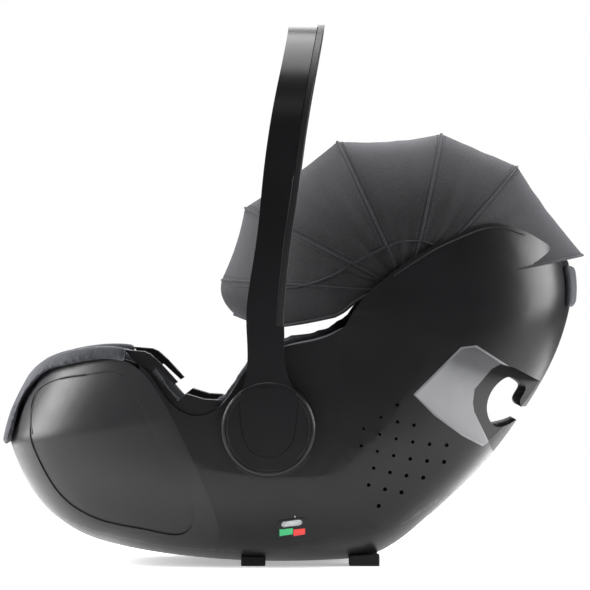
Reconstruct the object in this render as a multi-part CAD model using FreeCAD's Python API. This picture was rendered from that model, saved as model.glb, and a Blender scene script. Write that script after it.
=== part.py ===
"""Infant car seat: a hard carrier shell with a swinging carry handle, a folding canopy on five hoops,
a height-adjustable headrest, a padded liner, a harness and the guides that a car's belt runs through.

Frame: millimetres, +Z up, X along the seat with the foot end at -X and the head end at +X, Y across.
The origin is on the ground under the middle of the seat's bounding box.
"""
import FreeCAD, Part
import math
import os

from FreeCAD import Vector

os.makedirs("parts", exist_ok=True)

# ---------------------------------------------------------------- driving dimensions
BODY_HALF_WIDTH = 198.0          # hard shell, at the side pods
BODY_ROUNDNESS = 3.6             # superellipse power across the shell
BODY_CENTRE = (0.0, 188.0)       # the shell's profile shrinks towards this point near the sides
SKIN = 3.0                       # wall of the outer mouldings
SEAM_GAP = 0.3                   # between neighbouring mouldings and covers
CAP_SHARE = 0.985                # where the pillow-shaped bodies end in a flat side

CAVITY_HALF_WIDTH = 158.0        # seat bucket, inside
CAVITY_ROUNDNESS = 5.0
CAVITY_CENTRE = (40.0, 300.0)
BUCKET_WALL = 3.0
FOAM = (0.3, 10.0)               # foam liner, from and to, measured in from the bucket
PAD = (10.4, 22.0)               # fabric pad on the foam

HUB = (-30.0, 160.0)             # carry handle pivot
HUB_RADIUS = 53.0
HUB_FACES = (200.0, 222.0)       # inner and outer face of the hub disc, from the middle
AXLE_RADIUS = 9.0
RUNNING = 0.05                   # radial clearance of a pivot
HANDLE_OUTER = 220.0             # half the outside width of the handle
HANDLE_WALL = 22.0
HANDLE_TOP = 622.0
HANDLE_CORNER = 125.0            # outside corner radius of the bail
TRIM_WIDTH = 8.0                 # rear trim strip of the handle

CANOPY_PIVOT = (128.0, 313.6)
CANOPY_HALF_WIDTH = 183.0
CANOPY_ROUNDNESS = 2.7
FABRIC = 1.2
HOOP_WALL = 3.0                  # hoop, along its own plane
HOOP_WIDTH = 6.0                 # hoop, along the canopy
HOOP_INSET = 4.2                 # hoop, below the outside of the fabric
EYELET = 30.0                    # the fabric stops this far from the pivot
HOOP_PITCH = 3.9                 # how far inside its neighbour each hoop's ends sit
HOOP_NECK = (43.0, 75.0)         # from the pivot: the ends are straight to here, and splay out by here
PIN_RADIUS = 4.0
EYE_RADIUS = 9.5
# name, angle above the foot-end horizon, radius at the middle
HOOPS = [("front", 176.0, 214.0), ("second", 152.0, 211.0), ("third", 114.1, 193.0),
         ("fourth", 77.0, 190.0), ("rear", 48.3, 197.0)]
CANOPY_REAR = (12.0, 212.2)      # angle and radius of the fixed rear edge
CANOPY_HEM = (190.5, 197.0)      # angle and radius of the lower front edge
SAG = 0.93                       # radius of the fabric half way between hoops, as a share

SLIDE = Vector(158.0, 0.0, 245.0).normalize()    # direction the headrest slides in, up the back
HEADREST_BASE = (124.0, 160.0)   # lower end of the headrest's back, on the mid-plane
HEADREST_LENGTH = 165.0
HEADREST_HALF_WIDTH = 124.0
HEADREST_DEPTH = 92.0
HEADREST_WALL = 4.0
HEADREST_PAD = 14.0

LEVEL = (-3.6, 51.5)             # middle of the level indicator, in side view
LEVEL_TILT = 8.0
LEVEL_LENGTH = 33.0
LEVEL_HEIGHT = 10.5

STRAP_WIDTH = 38.0
STRAP_THICKNESS = 1.6
STRAP_SLOT = (30.0, 42.0)        # shoulder strap slots: up the headrest, and out from the middle
SHOULDER_PAD = (52.0, 12.0)      # width and thickness

BUCKLE_BASE = (-34.0, 110.0)
BUCKLE_LEAN = 38.0               # degrees back from upright
BUCKLE_SIZE = (60.0, 15.0, 58.0)  # across, thick, tall

# ---------------------------------------------------------------- outlines in side view, (x, z)
# Mid-plane profile of the hard shell. The part above the rims is never seen: it keeps the sides upright.
BODY_PROFILE = [
    (-329, 137), (-318, 110), (-300, 79), (-280, 57), (-243, 33), (-210, 22.5), (-171, 14.5), (-122, 8),
    (-65, 3.5), (0, 2.5), (43, 4), (94, 12), (121, 27), (149, 50), (190, 87), (224, 122), (256, 164),
    (282, 204), (303, 245), (315, 280), (321, 315), (319, 342), (306, 388), (276, 434), (225, 474),
    (150, 505), (50, 515), (-60, 492), (-150, 440), (-222, 360), (-258, 290), (-281, 245), (-301, 210),
    (-315, 183), (-325, 160),
]
CAVITY_PROFILE = [
    (-262, 340), (-262, 285), (-254, 240), (-229, 190), (-172, 134), (-95, 95), (-20, 76), (50, 78),
    (104, 104), (146, 150), (176, 197), (205, 246), (236, 299), (262, 350), (275, 410), (255, 470),
    (180, 515), (60, 530), (-70, 510), (-180, 458), (-242, 395),
]
FRONT_TOP = [(-352, 128), (-334, 139), (-321, 181), (-307, 207), (-287, 225), (-258, 233.5), (-210, 240),
             (-198, 238), (-187, 233), (-175, 225)]
FRONT_REAR_EDGE = [(-175, 225), (-159, 206), (-140, 173), (-122, 137), (-103, 95), (-89, 55)]
FRONT_HEEL = [(-89, 55), (-87, 36), (-99, 19.5)]
LOWER_SEAM = [(-99, 19.5), (-152, 23), (-190, 30), (-229, 40), (-267, 53)]
POD_SEAM = [(-99, 19.5), (-60, 18.5), (-26, 22.5), (9, 29.5), (43, 38.5), (85, 51)]
REAR_FRONT_EDGE = [(118, 342), (83, 313), (60, 282), (49.5, 252), (48.5, 222), (49.5, 193), (54, 160),
                   (63, 109), (73, 74), (85, 51)]
REAR_HEEL = [(85, 51), (97, 43.5), (110, 43.5), (126, 50.5), (145, 62), (160, 74)]
REAR_TOP = [(340, 330), (320, 345), (307, 358), (286, 371), (262, 384), (240, 391), (226, 393),
            (210, 390), (188, 381), (160, 368), (118, 342)]
BUCKET_RIM = [(-420, 238), (-250, 242), (-205, 240), (-172, 228), (-142, 190), (-112, 174), (-84, 186),
              (-55, 227), (-18, 251), (34, 263), (74, 290), (112, 326), (156, 354), (200, 372),
              (232, 377), (262, 370), (305, 346), (345, 322)]
LIP_TOP = [(-350, 106), (-333, 146), (-322.5, 187), (-297, 227), (-264, 243), (-229, 249.5), (-194, 249)]
FRONT_EMBOSS = [(-303, 179), (-293, 204), (-268, 216), (-237, 221), (-210, 224), (-194, 218), (-181, 198),
                (-163, 163), (-138, 112), (-114, 62), (-122, 42), (-165, 42), (-216, 52), (-262, 76),
                (-292, 120), (-303, 150)]
POCKET = [(134, 198.5), (188, 252), (206, 254), (300, 194), (262, 120), (226, 132), (190, 151), (158, 174.5)]
CHANNEL_SEAM = [(330, 192), (275.5, 215), (249, 228.5), (236, 232), (225, 226.5), (205, 203.5), (203, 188),
                (204.5, 178), (227, 132), (262, 120), (330, 150)]
CHANNEL_HOLE = [(262, 181), (259, 191), (265, 205), (257, 212), (246, 217), (235, 212), (221, 192),
                (221, 172), (231, 160), (242, 161.5), (256, 168)]
CHANNEL_MOUTH = [(255, 167), (261, 183), (320, 178), (300, 140)]
BELT_GUIDE = [(-194, 249), (-171, 247), (-164, 244), (-152, 233), (-133, 212), (-137, 209.5), (-158, 229),
              (-162, 224), (-133, 191), (-123, 199), (-103, 193), (-86, 192), (-90, 177), (-96, 166),
              (-105, 162), (-117, 165), (-132, 175), (-158, 207), (-176, 229)]
HANDLE_FRONT_EDGE = [(-5, 640), (-8, 612), (-22, 538), (-36.5, 441), (-43, 376), (-51, 325), (-55, 288),
                     (-54, 259), (-54, 230), (-60, 204), (-74, 186)]
HANDLE_REAR_EDGE = [(37, 640), (32.5, 612), (21, 549), (10, 477), (3, 423), (-4, 376), (-10, 322),
                    (-13, 277), (-12, 244), (-9, 222), (0, 202), (14, 186)]

parts = {}


# ---------------------------------------------------------------- helpers
def side_points(points, y=0.0):
    return [Vector(x, y, z) for x, z in points]


def spline(points, closed=False):
    """Smooth edge through side-view or space points."""
    space = [p if isinstance(p, Vector) else Vector(p[0], 0, p[1]) for p in points]
    curve = Part.BSplineCurve()
    curve.interpolate(space, PeriodicFlag=closed)
    return curve.toShape()


def line(a, b):
    return Part.makeLine(Vector(a[0], 0, a[1]), Vector(b[0], 0, b[1]))


def prism(edges, y0, y1):
    """Solid between two Y planes with the closed side-view outline that the edges make."""
    wire = Part.Wire(Part.__sortEdges__(edges)) if isinstance(edges, list) else edges
    wire.translate(Vector(0, y0, 0))
    return Part.Face(wire).extrude(Vector(0, y1 - y0, 0))


def polygon(points, y0, y1):
    """Prism with straight sides."""
    return prism(Part.makePolygon(side_points(points + points[:1])), y0, y1)


def box(x0, x1, y0, y1, z0, z1):
    return Part.makeBox(x1 - x0, y1 - y0, z1 - z0, Vector(x0, y0, z0))


def rod(x, z, radius, y0, y1):
    """Cylinder along Y."""
    return Part.makeCylinder(radius, y1 - y0, Vector(x, y0, z), Vector(0, 1, 0))


def grown(points, by):
    """Closed side-view profile moved outwards by a distance, negative for inwards."""
    moved = []
    count = len(points)
    for i, (x, z) in enumerate(points):
        before, after = points[i - 1], points[(i + 1) % count]
        tx, tz = after[0] - before[0], after[1] - before[1]
        length = math.hypot(tx, tz)
        moved.append((x + by * tz / length, z - by * tx / length))
    return moved


def pillow(points, centre, half_width, power, by=0.0):
    """Closed body whose mid-plane profile shrinks towards a point as a superellipse across Y."""
    profile = grown(points, by)
    reach = half_width + by
    wires = []
    for share in (-CAP_SHARE, -0.955, -0.9, -0.8, -0.66, -0.48, -0.25, 0, 0.25, 0.48, 0.66, 0.8, 0.9, 0.955,
                  CAP_SHARE):
        scale = (1 - abs(share) ** power) ** (1 / power)
        ring = [Vector(centre[0] + (x - centre[0]) * scale, share * reach, centre[1] + (z - centre[1]) * scale)
                for x, z in profile]
        wires.append(Part.Wire(spline(ring, True)))
    return Part.makeLoft(wires, True, False)


def body(by=0.0):
    return pillow(BODY_PROFILE, BODY_CENTRE, BODY_HALF_WIDTH, BODY_ROUNDNESS, by)


def cavity(inwards=0.0):
    return pillow(CAVITY_PROFILE, CAVITY_CENTRE, CAVITY_HALF_WIDTH, CAVITY_ROUNDNESS, -inwards)


def mirrored(shape):
    return shape.mirror(Vector(0, 0, 0), Vector(0, 1, 0))


def keep(name, *shapes):
    """Stores a node's solids under a plain name."""
    solids = [s for shape in shapes for s in shape.Solids if s.Volume > 1.0]
    parts[name] = Part.makeCompound(solids) if len(solids) > 1 else solids[0]


def both_sides(name, shape):
    """The same piece on the left, at -Y, and the right, at +Y."""
    keep(name + "_left", shape)
    keep(name + "_right", mirrored(shape))


def turned(shape, degrees, x, z):
    """Turns a shape about a Y axis; positive takes +Z towards +X."""
    copy = shape.copy()
    copy.rotate(Vector(x, 0, z), Vector(0, 1, 0), degrees)
    return copy


def band(stations, width, low, high):
    """Webbing through stations (x, y, z), its faces at two heights over the path, as one solid."""
    wires = []
    for i, station in enumerate(stations):
        tangent = Vector(*stations[min(i + 1, len(stations) - 1)]) - Vector(*stations[max(i - 1, 0)])
        across = tangent.cross(Vector(0, 0, 1)).normalize()
        normal = across.cross(tangent).normalize()
        corners = [Vector(*station) + across * w + normal * n
                   for w, n in ((-width / 2, low), (width / 2, low), (width / 2, high), (-width / 2, high))]
        wires.append(Part.makePolygon(corners + corners[:1]))
    return Part.makeLoft(wires, True, True)


# ---------------------------------------------------------------- outer mouldings
outer_skin = body().cut(body(-SKIN))
wide = BODY_HALF_WIDTH + 10


def front_outline():
    """Front moulding: rounded nose cover that wraps from one side to the other."""
    return [spline(FRONT_TOP), spline(FRONT_REAR_EDGE), spline(FRONT_HEEL), spline(LOWER_SEAM),
            line((-267, 53), (-352, 30)), line((-352, 30), (-352, 128))]


def rear_outline():
    return [spline(REAR_TOP), spline(REAR_FRONT_EDGE), spline(REAR_HEEL), line((160, 74), (176, 61)),
            line((176, 61), (340, 61)), line((340, 61), (340, 330))]


def lower_outline():
    return [spline(LOWER_SEAM), line((-267, 53), (-352, 30)), line((-352, 30), (-352, -10)),
            line((-352, -10), (200, -10)), line((200, -10), (176, 61)), line((176, 61), (160, 74)),
            spline(REAR_HEEL), spline(POD_SEAM)]


def pod_outline():
    """Side mouldings under the hub, up to the rim of the bucket."""
    return [spline(BUCKET_RIM), line((345, 322), (345, -20)), line((345, -20), (-420, -20)),
            line((-420, -20), (-420, 238))]


front_prism = prism(front_outline(), -wide, wide)
rear_prism = prism(rear_outline(), -wide, wide)
lower_prism = prism(lower_outline(), -wide, wide)
front_fairing = outer_skin.common(front_prism)
lower_shell = outer_skin.common(lower_prism)
side_pods = outer_skin.common(prism(pod_outline(), -wide, wide)).common(box(-176, 200, -wide, wide, 0, 400))
side_pods = side_pods.cut(front_prism.fuse([rear_prism, lower_prism]))


# A shallow step pressed into the front panel's sides, and air holes through the rear panel's.
EMBOSS_DEPTH = 1.2
VENT_ROWS = [(0, 0, 1), (1, -1, 3), (2, -2, 4), (3, -1, 3), (4, 0, 2), (5, 0, 1)]


def vent_centre(i, j):
    """Middle of a vent hole: columns climb to the rear, rows fall away below them."""
    return (77.8 + 18.0 * i + 0.18 * i * i - 2.05 * j - 0.7 * j * j, 159.6 - 6.9 * i + 0.61 * i * i - 19.2 * j)


def vents():
    """Small holes through the rear panel on both sides, growing towards the rear."""
    holes = []
    for i, first, last in VENT_ROWS:
        for j in range(first, last + 1):
            x, z = vent_centre(i, j)
            radius = 1.5 + 0.16 * (i + max(j, 0))
            holes += [rod(x, z, radius, -205, -150), rod(x, z, radius, 150, 205)]
    return Part.makeCompound(holes)


front_step = prism([spline(FRONT_EMBOSS, True)], -wide, -100).cut(body(-EMBOSS_DEPTH))
front_fairing = front_fairing.cut(front_step).cut(mirrored(front_step))


def largest(shape):
    """The biggest solid of a shape, without the scraps that a cut leaves."""
    return max(shape.Solids, key=lambda solid: solid.Volume)


def near(shape, side=-1):
    """The half of a shape on one side of the mid-plane."""
    half = box(-400, 400, -260, 0, -20, 700) if side < 0 else box(-400, 400, 0, 260, -20, 700)
    return shape.common(half)


# Scoops in the rear corners lead the shoulder belt into the channel across the back.
SCOOP_START = (134.0, 194.0)     # x and y where the scoop's floor leaves the side
SCOOP_SLOPE = 0.68
SCOOP_WALL = 2.5
CHANNEL_WALL = 4.0


def beyond_scoop_floor(deeper, side=-1):
    """Everything outside the sloping scoop floor on one side."""
    x0, y0 = SCOOP_START
    far = 400.0
    deep = y0 - deeper
    corners = [(x0 - 60, deep + 60 * SCOOP_SLOPE), (far, deep - (far - x0) * SCOOP_SLOPE), (far, 300),
               (x0 - 60, 300)]
    wire = Part.makePolygon([Vector(x, side * y, 0) for x, y in corners + corners[:1]])
    return Part.Face(wire).extrude(Vector(0, 0, 450))


pocket_prism = polygon(POCKET, -260, 260)
pocket_inner = polygon(grown(POCKET[::-1], -SCOOP_WALL), -260, 260)
scoop = beyond_scoop_floor(0).fuse(beyond_scoop_floor(0, 1))
scoop_outside = beyond_scoop_floor(SCOOP_WALL).fuse(beyond_scoop_floor(SCOOP_WALL, 1))
channel_block = polygon(CHANNEL_SEAM, -260, 260)
hole = prism([spline(CHANNEL_HOLE, True)], -260, 260).fuse(polygon(CHANNEL_MOUTH, -260, 260))
channel_wall = prism([spline(grown(CHANNEL_HOLE, CHANNEL_WALL), True)], -260, 260)

rear_fairing = outer_skin.common(rear_prism).cut(pocket_prism).cut(channel_block)
back_strip = outer_skin.common(pocket_prism.cut(channel_block)).cut(scoop_outside)
rear_fairing = rear_fairing.fuse(back_strip)
rear_fairing = rear_fairing.cut(vents())

pockets = body().common(pocket_prism).common(scoop_outside).cut(pocket_inner.common(scoop))
pockets = pockets.cut(channel_block)
floors = scoop_outside.cut(scoop)
channel = channel_block.common(body()).cut(scoop)
channel_parts = channel.common(floors.fuse(channel_wall).fuse(outer_skin)).cut(hole)

# ---------------------------------------------------------------- seat bucket and what is in it
rim_cutter = prism([spline(BUCKET_RIM), line((345, 322), (345, 700)), line((345, 700), (-420, 700)),
                    line((-420, 700), (-420, 238))], -wide, wide)
pad_cutter = rim_cutter.copy()
pad_cutter.translate(Vector(0, 0, 10))
bucket = cavity(-BUCKET_WALL).cut(cavity()).common(body(-SKIN - 0.4)).cut(rim_cutter)
foam = cavity(FOAM[0]).cut(cavity(FOAM[1])).common(body(-SKIN - 0.4)).cut(rim_cutter)
pad = cavity(PAD[0]).cut(cavity(PAD[1])).common(body(-1.0)).cut(pad_cutter)

# Padded covers round the opening: the edge between bucket and mouldings, and the lip over the foot end.
inside_shell = body(-SKIN - 0.4)
outside_bucket = cavity(-BUCKET_WALL - 0.4)
rim_low = rim_cutter.copy()
rim_low.translate(Vector(0, 0, -8))
edge_span = box(-200, 60, -wide, wide, 100, 400)
cover_edge = inside_shell.cut(outside_bucket).common(rim_low.cut(rim_cutter)).common(edge_span)
lip_prism = prism([spline(LIP_TOP), line((-194, 249), (-194, 232)), line((-194, 232), (-300, 106)),
                   line((-300, 106), (-350, 106))], -wide, wide)
front_clear = front_prism.copy()
front_clear.translate(Vector(-SEAM_GAP / 2, 0, SEAM_GAP))
front_lip = body(8.0).common(lip_prism).cut(front_prism.fuse(front_clear)).cut(outside_bucket)
front_lip = front_lip.cut(inside_shell.common(box(-400, 0, -wide, wide, 0, 228)))
REAR_TAB = (110.0, 297.0, 346.0)   # half width, bottom and top
rear_tab = body(5.0).cut(body(0.3)).common(box(250, 400, -REAR_TAB[0], REAR_TAB[0], REAR_TAB[1], REAR_TAB[2]))

# Lap belt guides: hooks that bridge from the bucket's rim to the side mouldings.
belt_guides = polygon(BELT_GUIDE, -wide, wide)
belt_guides = belt_guides.common(body(-SKIN - 0.4)).cut(outside_bucket)
cover_edge = cover_edge.cut(belt_guides).cut(front_lip)

# Feet: rubber pads that fill the last few millimetres between the curved bottom and the ground.
FEET = [(-62.0, -34.0), (62.0, 97.0)]
FOOT_Y = (62.0, 118.0)
feet = []
for x0, x1 in FEET:
    foot = box(x0, x1, -FOOT_Y[1], -FOOT_Y[0], 0, 30).cut(body(0.0).fuse(box(x0, x1, -200, 0, 12, 40)))
    feet += [foot, mirrored(foot)]

# Level indicator on each side moulding's lower flank: window, sliding bead and two-colour scale.
def tilted_outline(length, height, round_ends):
    """Closed outline around the indicator's middle, tilted with it."""
    cx, cz = LEVEL
    half, r = length / 2, height / 2
    if round_ends:
        k = half - r
        shape = [Part.makeLine(Vector(-k, 0, r), Vector(k, 0, r)),
                 Part.Arc(Vector(k, 0, r), Vector(half, 0, 0), Vector(k, 0, -r)).toShape(),
                 Part.makeLine(Vector(k, 0, -r), Vector(-k, 0, -r)),
                 Part.Arc(Vector(-k, 0, -r), Vector(-half, 0, 0), Vector(-k, 0, r)).toShape()]
        wire = Part.Wire(shape)
    else:
        wire = Part.makePolygon(side_points([(-half, r), (half, r), (half, -r), (-half, -r), (-half, r)]))
    wire.rotate(Vector(0, 0, 0), Vector(0, 1, 0), -LEVEL_TILT)
    wire.translate(Vector(cx, 0, cz))
    return wire


def layer(wire, outer, inner):
    """Piece of the left flank between two offsets of the body, inside an outline."""
    return prism(wire, -wide, -100).common(body(outer)).cut(body(inner))


level_frame = layer(tilted_outline(LEVEL_LENGTH, LEVEL_HEIGHT, True), 0.8, -7.0)
slot_outer = layer(tilted_outline(LEVEL_LENGTH - 9, LEVEL_HEIGHT - 3.6, True), 2.0, -5.6)
level_frame = level_frame.cut(slot_outer)
level_window = layer(tilted_outline(LEVEL_LENGTH - 9.2, LEVEL_HEIGHT - 3.8, True), 0.3, -0.7)
bead = tilted_outline(6.6, 4.4, True)
level_bead = layer(bead, -1.2, -5.2)
pod_recess = layer(tilted_outline(LEVEL_LENGTH + 0.2, LEVEL_HEIGHT + 0.2, True), 3.0, -20.0)
side_pods = side_pods.cut(pod_recess.fuse(mirrored(pod_recess)))


def scale_half(x0, x1):
    wire = Part.makePolygon(side_points([(x0, 44.6), (x1, 45.2 + 0.06 * (x1 - x0)), (x1, 37.6 + 0.1 * (x1 - x0)),
                                         (x0, 36.6), (x0, 44.6)]))
    return layer(wire, 0.35, 0.0)


level_scale = [scale_half(x0, x1).cut(pod_recess) for x0, x1 in ((-17.5, -2.4), (-1.8, 11.5))]

# Harness adjuster at the front of the seat: a housing in the pad with a press button and a strap inlet.
ADJUSTER = (-200.0, 160.0)         # on the bucket's front slope
ADJUSTER_SIZE = (46.0, 48.0)       # across, and along the slope
slope = Vector(-0.713, 0, 0.70).normalize()     # up the front slope
lift = Vector(0.70, 0, 0.713).normalize()       # square to it, into the seat


def adjuster_block(width, length, low, high, along=0.0):
    """Block on the front slope, between two heights over the bucket."""
    block = Part.makeBox(length, width, high - low)
    corner = Vector(ADJUSTER[0], width / 2, ADJUSTER[1]) + slope * (along - length / 2) + lift * low
    block.Placement = FreeCAD.Placement(corner, FreeCAD.Rotation(slope, Vector(0, -1, 0), lift, "XYZ"))
    return block


adjuster_housing = adjuster_block(ADJUSTER_SIZE[0], ADJUSTER_SIZE[1], 10.8, 25.0)
adjuster_housing = adjuster_housing.cut(adjuster_block(34.6, 26.6, 16.0, 30.0, 6))
adjuster_housing = adjuster_housing.cut(adjuster_block(30.0, 4.0, 15.0, 30.0, -15))
adjuster_button = adjuster_block(34.0, 26.0, 20.0, 27.0, 6)
adjuster_button = adjuster_button.makeFillet(1.5, adjuster_button.Edges)
pad = pad.cut(adjuster_block(ADJUSTER_SIZE[0] + 0.8, ADJUSTER_SIZE[1] + 0.8, 0.0, 60.0))

# The headrest slides in a straight trough, so the foam and the pad are cut back along its way.
side = Vector(0, 1, 0)
forward = SLIDE.cross(side)
start = Vector(HEADREST_BASE[0], 0, HEADREST_BASE[1])


def trough(half_width, depth, corner, low, length, back=0.0):
    """Straight U-shaped block with rounded back corners, along the headrest's travel."""
    origin = start + SLIDE * low - forward * back
    a, d, r = half_width, depth, corner
    k = r * (1 - math.sqrt(0.5))

    def at(y, f):
        return origin + side * y + forward * f
    edges = [Part.makeLine(at(-a, d), at(-a, r)), Part.Arc(at(-a, r), at(-a + k, k), at(-a + r, 0)).toShape(),
             Part.makeLine(at(-a + r, 0), at(a - r, 0)),
             Part.Arc(at(a - r, 0), at(a - k, k), at(a, r)).toShape(), Part.makeLine(at(a, r), at(a, d)),
             Part.makeLine(at(a, d), at(-a, d))]
    return Part.Face(Part.Wire(edges)).extrude(SLIDE * length)


headrest_corner = 52.0
clear_way = trough(HEADREST_HALF_WIDTH + 1.5, 260, headrest_corner + 1.5, -1.5, 420, 1.5)
foam = foam.cut(clear_way)
pad = pad.cut(clear_way)
t = HEADREST_WALL
p = HEADREST_WALL + HEADREST_PAD
shell_outer = trough(HEADREST_HALF_WIDTH, HEADREST_DEPTH, headrest_corner, 0, HEADREST_LENGTH)
shell_inner = trough(HEADREST_HALF_WIDTH - t, 300, headrest_corner - t, -5, HEADREST_LENGTH + 10, -t)
pad_outer = trough(HEADREST_HALF_WIDTH - t - 0.4, HEADREST_DEPTH + 8, headrest_corner - t - 0.4, 4,
                   HEADREST_LENGTH - 8, -t - 0.4)
pad_inner = trough(HEADREST_HALF_WIDTH - p, 300, headrest_corner - p, 0, HEADREST_LENGTH + 10, -p)


def on_back(s, f, y=0.0):
    """Point in the headrest's own directions: up the slide, forward of its back face, and across."""
    return start + SLIDE * s + forward * f + side * y


slot_block = Part.makeBox(6, 200, STRAP_WIDTH + 6)
slot_block.Placement = FreeCAD.Placement(on_back(STRAP_SLOT[0] - 3, -40, STRAP_SLOT[1] + 22),
                                         FreeCAD.Rotation(SLIDE, forward, side * -1, "XYZ"))
strap_slots = slot_block.fuse(mirrored(slot_block))


def headrest_pull():
    """Finger loop behind the top of the headrest: a bar on two ears."""
    top = start + SLIDE * (HEADREST_LENGTH + 0.3)
    bar = Part.makeCylinder(5, 90, top + SLIDE * 22 + forward * 6 - side * 45, side)
    ears = []
    for y in (-45, 39):
        ear = Part.makeBox(6, 12, 24)
        rotation = FreeCAD.Rotation(side, forward, SLIDE, "XYZ")
        ear.Placement = FreeCAD.Placement(top + side * y, rotation)
        ears.append(ear)
    return bar.fuse(ears)


# ---------------------------------------------------------------- harness
lean = math.radians(BUCKLE_LEAN)
buckle_up = Vector(math.sin(lean), 0, math.cos(lean))
buckle_out = Vector(-math.cos(lean), 0, math.sin(lean))
buckle_base = Vector(BUCKLE_BASE[0], 0, BUCKLE_BASE[1])


def buckle_block(width, out0, out1, up0, up1, y=0.0, radius=0.0):
    """Block square to the buckle: its width across, then from and to outwards and upwards."""
    block = Part.makeBox(width, out1 - out0, up1 - up0)
    if radius:
        block = block.makeFillet(radius, block.Edges)
    corner = buckle_base + buckle_out * out0 + buckle_up * up0 + side * (y - width / 2)
    block.Placement = FreeCAD.Placement(corner, FreeCAD.Rotation(side, buckle_out, buckle_up, "XYZ"))
    return block


width, thick, tall = BUCKLE_SIZE
buckle_housing = buckle_block(width, -thick / 2, thick / 2, 0, tall, radius=4)
button_well = buckle_block(30.6, 0.0, thick, 13.7, 38.3)
buckle_housing = buckle_housing.cut(button_well)
tongue_slot = buckle_block(50.6, -2.4, 2.4, tall - 18, tall + 2)
buckle_housing = buckle_housing.cut(tongue_slot)
buckle_button = buckle_block(30, 3.6, thick / 2 + 1.0, 14, 38, radius=1.2)
tongues = [buckle_block(24, -1.2, 1.2, tall - 16, tall + 22, y) for y in (-12.6, 12.6)]
tongue_slots = [buckle_block(20, -3, 3, tall + 14, tall + 18, y) for y in (-12.6, 12.6)]
tongues = [t.cut(s) for t, s in zip(tongues, tongue_slots)]
crotch_strap = buckle_block(STRAP_WIDTH, -0.8, 0.8, -14, -0.3)
crotch_pad = buckle_block(58, -6, 6, -9, -0.5, radius=2).cut(buckle_block(STRAP_WIDTH + 1, -1.4, 1.4, -14, 2))


def strap_path():
    """Shoulder strap from the headrest slot down to the buckle's tongue, in side view with its offset."""
    top = [on_back(STRAP_SLOT[0], f, STRAP_SLOT[1]) for f in (-1.0, 12.0, 24.0)]
    tip = buckle_base + buckle_up * (tall + 17)
    run = [(104, 39, 193), (88, 36, 179), (70, 32, 169), (50, 27, 163), (tip.x + 14, 21.5, 163)]
    return [(p.x, p.y, p.z) for p in top] + run + [(tip.x + 4, 20.5, tip.z + 1.5)]


def lap_path():
    """Lap strap from the tongue out to where it goes into the side of the seat."""
    tip = buckle_base + buckle_up * (tall + 17)
    return [(tip.x + 2, 27, tip.z - 4), (30, 44, 152), (52, 62, 140), (74, 82, 136), (86, 97, 135)]


def sleeve(points, width, thickness):
    """Pad around the webbing, with the webbing's passage left open."""
    return band(points, width, -thickness / 2, thickness / 2).cut(band(points, STRAP_WIDTH + 1.0, -1.5, 1.5))


half_strap = STRAP_THICKNESS / 2
tongue_clear = buckle_block(2 * 25.5, -1.6, 1.6, tall - 18, tall + 22.5)
shoulder_strap = largest(band(strap_path(), STRAP_WIDTH, -half_strap, half_strap).cut(tongue_clear))
lap_strap = band(lap_path(), 25, -half_strap, half_strap).cut(tongue_clear)
lap_strap = largest(lap_strap.cut(band(strap_path(), STRAP_WIDTH + 0.6, -half_strap - 0.3, half_strap + 0.3)))
crotch_slot = buckle_block(59, -6.5, 6.5, -20, 4)
shoulder_pad = sleeve(strap_path()[3:7], *SHOULDER_PAD)

# ---------------------------------------------------------------- carry handle
def handle_arch(outside, wall):
    """Front view of the bail, extruded along X: two legs and a top with round corners."""
    def ring(a, top, r):
        k = r * (1 - math.sqrt(0.5))
        bottom = HUB[1] + 30
        return [Part.makeLine(Vector(0, -a, bottom), Vector(0, -a, top - r)),
                Part.Arc(Vector(0, -a, top - r), Vector(0, -a + k, top - k), Vector(0, -a + r, top)).toShape(),
                Part.makeLine(Vector(0, -a + r, top), Vector(0, a - r, top)),
                Part.Arc(Vector(0, a - r, top), Vector(0, a - k, top - k), Vector(0, a, top - r)).toShape(),
                Part.makeLine(Vector(0, a, top - r), Vector(0, a, bottom)),
                Part.makeLine(Vector(0, a, bottom), Vector(0, -a, bottom))]
    outer = Part.Face(Part.Wire(ring(outside, HANDLE_TOP, HANDLE_CORNER)))
    inner = Part.Face(Part.Wire(ring(outside - wall, HANDLE_TOP - wall, HANDLE_CORNER - wall)))
    arch = outer.cut(inner)
    arch.translate(Vector(-200, 0, 0))
    return arch.extrude(Vector(400, 0, 0))


def handle_side(left, right):
    """Side view of the bail between two of its edges."""
    return prism([spline(left), line(left[-1], right[-1]), spline(right), line(right[0], left[0])], -240, 240)


def shifted(points, dx):
    return [(x + dx, z) for x, z in points]


trim_split = shifted(HANDLE_REAR_EDGE, -TRIM_WIDTH)
handle_bow = handle_side(HANDLE_FRONT_EDGE, trim_split).common(handle_arch(HANDLE_OUTER, HANDLE_WALL))
trim_low = box(-200, 200, -240, 240, 275, 700)
rear_trim = handle_side(shifted(trim_split, 0.4), HANDLE_REAR_EDGE)
rear_trim = rear_trim.common(handle_arch(HANDLE_OUTER - 1.0, HANDLE_WALL - 2.0)).common(trim_low)
lower_rear = handle_side(trim_split, HANDLE_REAR_EDGE).common(handle_arch(HANDLE_OUTER, HANDLE_WALL))
handle_bow = handle_bow.fuse(lower_rear.cut(box(-200, 200, -240, 240, 274, 700))).removeSplitter()
grip = box(-7, 19, -70, 70, HANDLE_TOP - HANDLE_WALL - 3.0, HANDLE_TOP - HANDLE_WALL)
grip = grip.makeFillet(1.2, [e for e in grip.Edges if e.BoundBox.ZMax < HANDLE_TOP - HANDLE_WALL - 2.9])

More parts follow.
